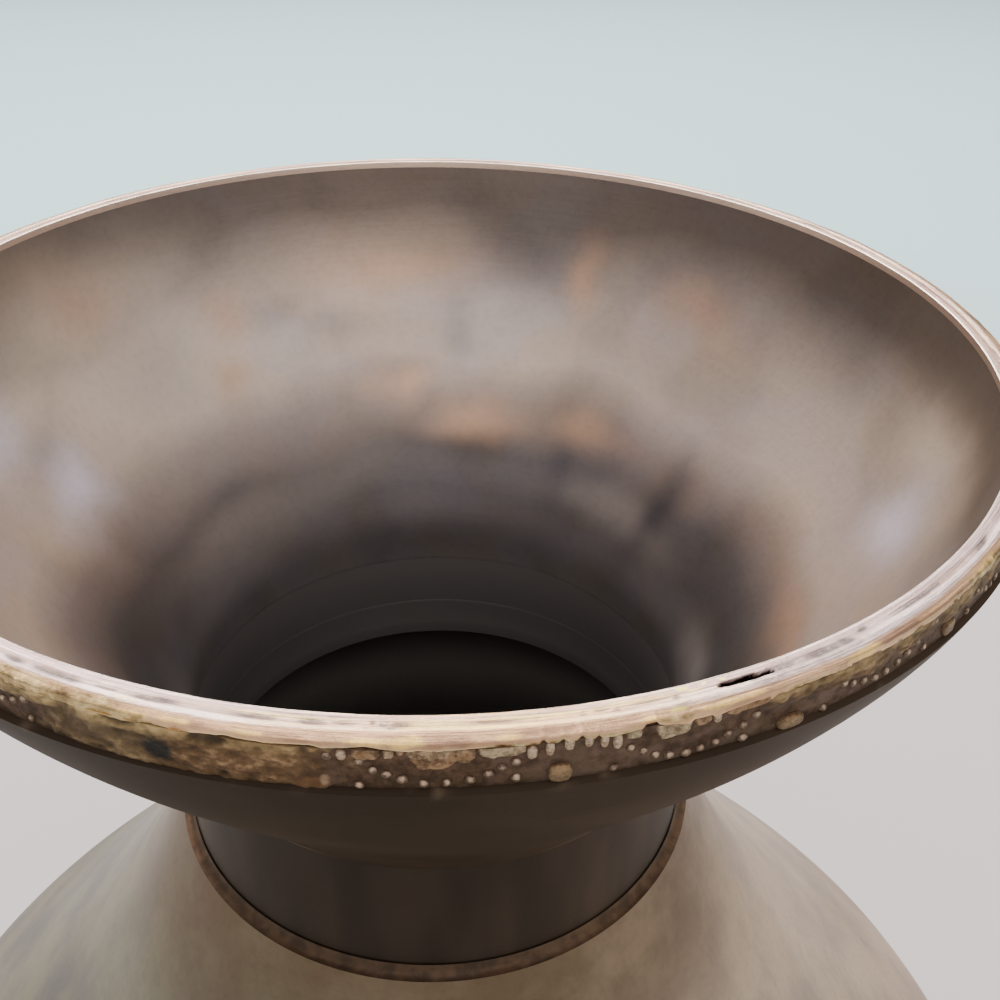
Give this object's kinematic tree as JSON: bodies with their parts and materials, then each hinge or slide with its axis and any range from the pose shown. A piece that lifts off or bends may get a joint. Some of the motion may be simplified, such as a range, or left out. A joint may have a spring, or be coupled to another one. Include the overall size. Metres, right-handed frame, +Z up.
{
  "type": "brass vase",
  "caption": "Large round brass vase with a wide flared mouth, a flat lip over a beaded ornament band, a short neck, a pear-shaped body and a spreading foot.",
  "frame": {"origin": "centre of the foot, on the surface that the vase stands on", "axes": "+Z up along the vase's axis, -Y towards the front, +X to the right seen from the front"},
  "size_m": [0.2976, 0.2976, 0.38],
  "materials": {
    "bright_brass": "worn bright and scratched by handling, pale with yellow traces",
    "band_brass": "dark brown patina with a tan crust of old polish, beads rubbed bright",
    "mouth_brass": "brown and grey patina, mottled and satin inside, dark outside",
    "dark_brass": "dark brown patina, satin",
    "hard_solder": "orange-brown tarnished hard solder, rough",
    "body_brass": "grey-tan worn patina, satin",
    "foot_brass": "brown patina, rubbed brighter on the edges"
  },
  "bodies": {
    "root": {"foot_ring": "foot_brass", "foot_stem": "foot_brass", "lower_body": "body_brass", "bottom_disc": "dark_brass", "shoulder_body": "body_brass", "neck_solder_fillet": "hard_solder", "neck_tube": "dark_brass", "mouth_bowl": "mouth_brass", "ornament_band": "band_brass", "lip_ring": "bright_brass"}
  },
  "joints": []
}
